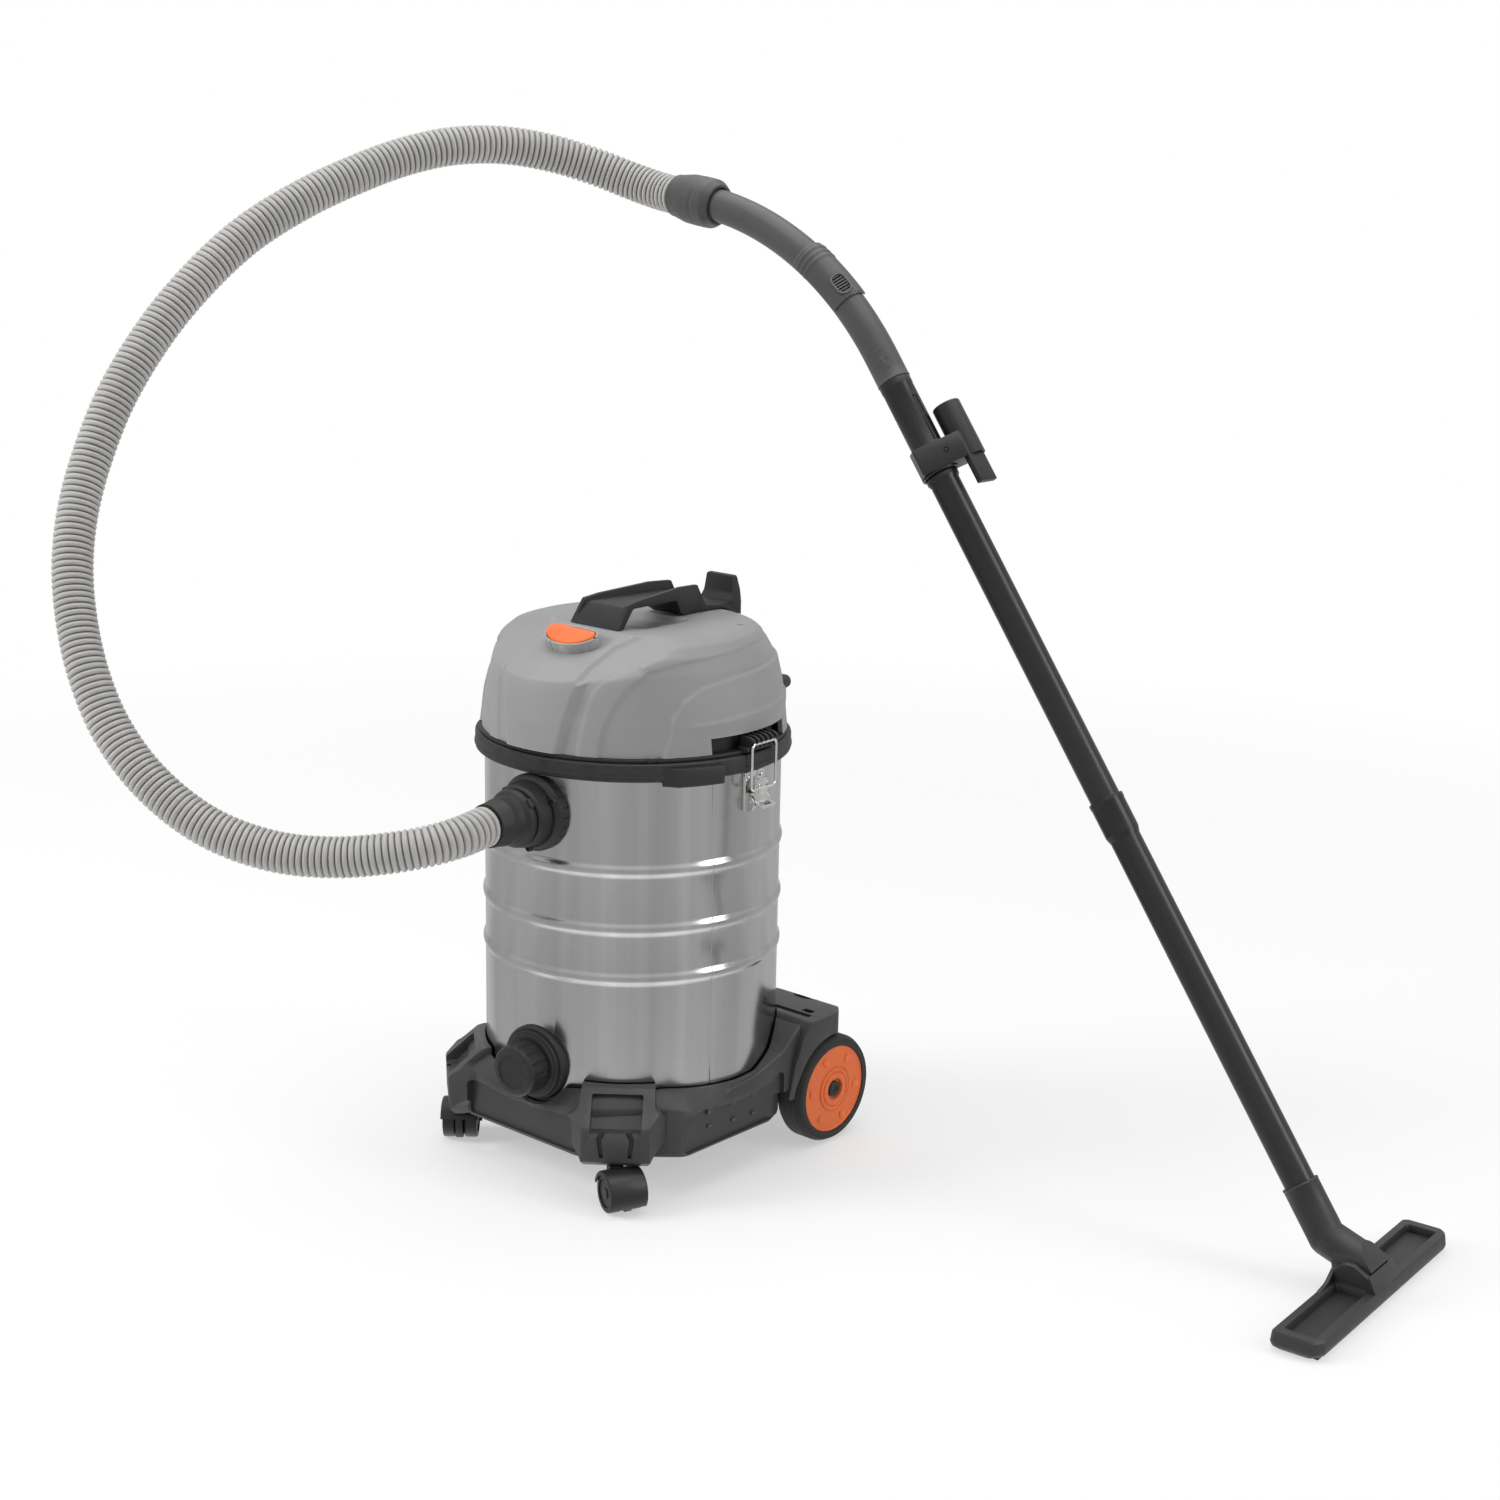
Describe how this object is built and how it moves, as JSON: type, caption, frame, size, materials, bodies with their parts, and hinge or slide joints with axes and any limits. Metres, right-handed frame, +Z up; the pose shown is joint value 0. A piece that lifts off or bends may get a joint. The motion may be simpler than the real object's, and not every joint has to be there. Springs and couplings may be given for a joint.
{
  "type": "wet and dry shop vacuum",
  "caption": "Wet and dry shop vacuum: wheeled steel tank with latched motor head, arched hose, hand grip, two-piece wand and floor nozzle.",
  "frame": {"origin": "centre of the flat underside of the base tray, on the tank's axis", "axes": "+Z up, the inlet and switch side faces -Y, +X to the machine's right as seen from its back, where the wand stands"},
  "size_m": [1.2565, 0.8581, 1.0964],
  "materials": {
    "steel": "bright ferritic stainless sheet, lightly brushed",
    "chrome": "bright plated steel wire and plate",
    "axle_steel": "plain turned steel",
    "motor_steel": "pressed steel can",
    "rotor_metal": "cast impeller on a wound armature",
    "head_grey": "fine moulded texture, mid grey",
    "orange": "moulded orange, satin",
    "black_plastic": "moulded black, fine grain",
    "base_plastic": "moulded black, satin",
    "caster_plastic": "hard black wheel plastic",
    "rubber_tyre": "soft black tread",
    "rubber_seal": "soft black",
    "foam": "open cell foam",
    "filter_paper": "pleated fleece",
    "hose_grey": "corrugated soft plastic, light grey",
    "grip_grey": "moulded dark grey, fine grain",
    "wand_black": "smooth moulded tube, semi gloss",
    "nozzle_black": "moulded, fine grain"
  },
  "bodies": {
    "machine": {"tank": "steel", "tank_rim_ring": "black_plastic", "inlet_flange": "black_plastic", "inlet_deflector": "black_plastic", "drain_collar": "black_plastic", "latch_bracket_left": "chrome", "latch_bracket_right": "chrome", "base_frame": "base_plastic", "hose": "hose_grey", "grip_tube": "grip_grey", "rear_axle": "axle_steel"},
    "head": {"head_chassis": "black_plastic", "head_gasket": "rubber_seal", "head_cover": "head_grey", "switch_bezel": "head_grey", "carry_handle": "black_plastic", "cable_gland": "rubber_seal", "exhaust_grille": "black_plastic", "fan_shroud": "black_plastic", "motor_housing": "motor_steel", "sound_foam": "foam", "filter_cage": "black_plastic", "cartridge_filter": "filter_paper"},
    "rocker": {"switch_rocker": "orange"},
    "rotor": {"fan_rotor": "rotor_metal"},
    "float": {"float_valve": "orange"},
    "retainer": {"filter_retainer": "black_plastic"},
    "latch_left": {"latch_lever_left": "chrome"},
    "latch_right": {"latch_lever_right": "chrome"},
    "bail_left": {"latch_bail_left": "chrome"},
    "bail_right": {"latch_bail_right": "chrome"},
    "inlet_cuff": {"hose_cuff": "black_plastic"},
    "drain_plug": {"drain_cap": "black_plastic", "drain_seal": "rubber_seal"},
    "swivel_cuff": {"grip_cuff": "grip_grey"},
    "air_slider": {"suction_slider": "grip_grey"},
    "wand_top": {"wand_upper": "wand_black"},
    "clip": {"tool_clip": "wand_black"},
    "wand_bottom": {"wand_lower": "wand_black"},
    "elbow": {"nozzle_elbow": "nozzle_black"},
    "nozzle": {"nozzle_head": "nozzle_black", "nozzle_strip_rear": "rubber_seal", "nozzle_strip_front": "rubber_seal", "nozzle_pin": "axle_steel"},
    "wheel_right": {"rear_tyre_right": "rubber_tyre", "wheel_disc_right": "orange", "hub_cap_right": "black_plastic"},
    "caster_left": {"caster_fork_left": "base_plastic"},
    "caster_right": {"caster_fork_right": "base_plastic"},
    "rollers_left": {"caster_wheels_left": "caster_plastic"},
    "rollers_right": {"caster_wheels_right": "caster_plastic"},
    "wheel_left": {"rear_tyre_left": "rubber_tyre", "wheel_disc_left": "orange", "hub_cap_left": "black_plastic"}
  },
  "joints": [
    {"name": "head_lift", "type": "slide", "parent": "machine", "child": "head", "axis": [0, 0, 1], "range_m": [0, 0.25]},
    {"name": "rocker_tip", "type": "hinge", "parent": "head", "child": "rocker", "pos_m": [0.002, -0.1002, 0.5285], "axis": [0, 0.9156, 0.402], "range_deg": [-4, 4]},
    {"name": "motor_spin", "type": "hinge", "parent": "head", "child": "rotor", "pos_m": [0, 0, 0.44], "axis": [0, 0, 1], "continuous": true},
    {"name": "float_rise", "type": "slide", "parent": "head", "child": "float", "axis": [0, 0, 1], "range_m": [0, 0.045]},
    {"name": "retainer_turn", "type": "hinge", "parent": "head", "child": "retainer", "pos_m": [0, 0, 0.32], "axis": [0, 0, 1], "continuous": true},
    {"name": "latch_left_open", "type": "hinge", "parent": "machine", "child": "latch_left", "pos_m": [-0.16637, -0.01456, 0.372], "axis": [0.0872, -0.9962, 0], "range_deg": [0, 75]},
    {"name": "bail_left_swing", "type": "hinge", "parent": "head", "child": "bail_left", "pos_m": [-0.17334, -0.01516, 0.435], "axis": [-0.0872, 0.9962, 0], "range_deg": [0, 37.5]},
    {"name": "latch_right_open", "type": "hinge", "parent": "machine", "child": "latch_right", "pos_m": [0.16637, 0.01456, 0.372], "axis": [-0.0872, 0.9962, 0], "range_deg": [0, 75]},
    {"name": "bail_right_swing", "type": "hinge", "parent": "head", "child": "bail_right", "pos_m": [0.17334, 0.01516, 0.435], "axis": [0.0872, -0.9962, 0], "range_deg": [0, 37.5]},
    {"name": "inlet_cuff_turn", "type": "hinge", "parent": "machine", "child": "inlet_cuff", "pos_m": [0.01743, -0.19924, 0.363], "axis": [0.0872, -0.9962, 0], "continuous": true},
    {"name": "drain_cap_unscrew", "type": "hinge", "parent": "machine", "child": "drain_plug", "pos_m": [0.01656, -0.18928, 0.087], "axis": [0.0872, -0.9962, 0], "range_deg": [0, 720]},
    {"name": "grip_cuff_turn", "type": "hinge", "parent": "machine", "child": "swivel_cuff", "pos_m": [-0.09261, 0.205, 0.97229], "axis": [-0.9903, 0, 0.1392], "continuous": true},
    {"name": "air_slide", "type": "hinge", "parent": "machine", "child": "air_slider", "pos_m": [-0.14563, 0.205, 0.595], "axis": [0, -1, 0], "range_deg": [0, 3.5]},
    {"name": "wand_turn", "type": "hinge", "parent": "machine", "child": "wand_top", "pos_m": [0.18, 0.205, 0.795], "axis": [-0.5878, 0, 0.809], "range_deg": [-90, 90]},
    {"name": "clip_slide", "type": "slide", "parent": "wand_top", "child": "clip", "axis": [-0.5878, 0, 0.809], "range_m": [-0.008, 0.05]},
    {"name": "wand_pull_out", "type": "slide", "parent": "wand_top", "child": "wand_bottom", "axis": [0.5878, 0, -0.809], "range_m": [0, 0.036]},
    {"name": "elbow_turn", "type": "hinge", "parent": "wand_bottom", "child": "elbow", "pos_m": [0.72135, 0.205, 0.0499], "axis": [-0.5878, 0, 0.809], "range_deg": [-90, 90]},
    {"name": "nozzle_tilt", "type": "hinge", "parent": "elbow", "child": "nozzle", "pos_m": [0.792, 0.205, -0.011], "axis": [-0.0732, 0.9973, 0], "range_deg": [-45, 18]},
    {"name": "rear_wheel_left_spin", "type": "hinge", "parent": "machine", "child": "wheel_left", "pos_m": [-0.16, 0.143, 0.015], "axis": [1, 0, 0], "continuous": true},
    {"name": "rear_wheel_right_spin", "type": "hinge", "parent": "machine", "child": "wheel_right", "pos_m": [0.16, 0.143, 0.015], "axis": [1, 0, 0], "continuous": true},
    {"name": "caster_left_swivel", "type": "hinge", "parent": "machine", "child": "caster_left", "pos_m": [-0.121, -0.147, 0], "axis": [0, 0, 1], "continuous": true},
    {"name": "caster_left_roll", "type": "hinge", "parent": "caster_left", "child": "rollers_left", "pos_m": [-0.13018, -0.13643, -0.025], "axis": [-0.7547, -0.6561, 0], "continuous": true},
    {"name": "caster_right_swivel", "type": "hinge", "parent": "machine", "child": "caster_right", "pos_m": [0.121, -0.147, 0], "axis": [0, 0, 1], "continuous": true},
    {"name": "caster_right_roll", "type": "hinge", "parent": "caster_right", "child": "rollers_right", "pos_m": [0.13398, -0.15224, -0.025], "axis": [0.3746, 0.9272, 0], "continuous": true}
  ],
  "couplings": [
    {"joint": "bail_left_swing", "follows": "latch_left_open", "ratio": 0.5},
    {"joint": "bail_right_swing", "follows": "latch_right_open", "ratio": 0.5}
  ]
}
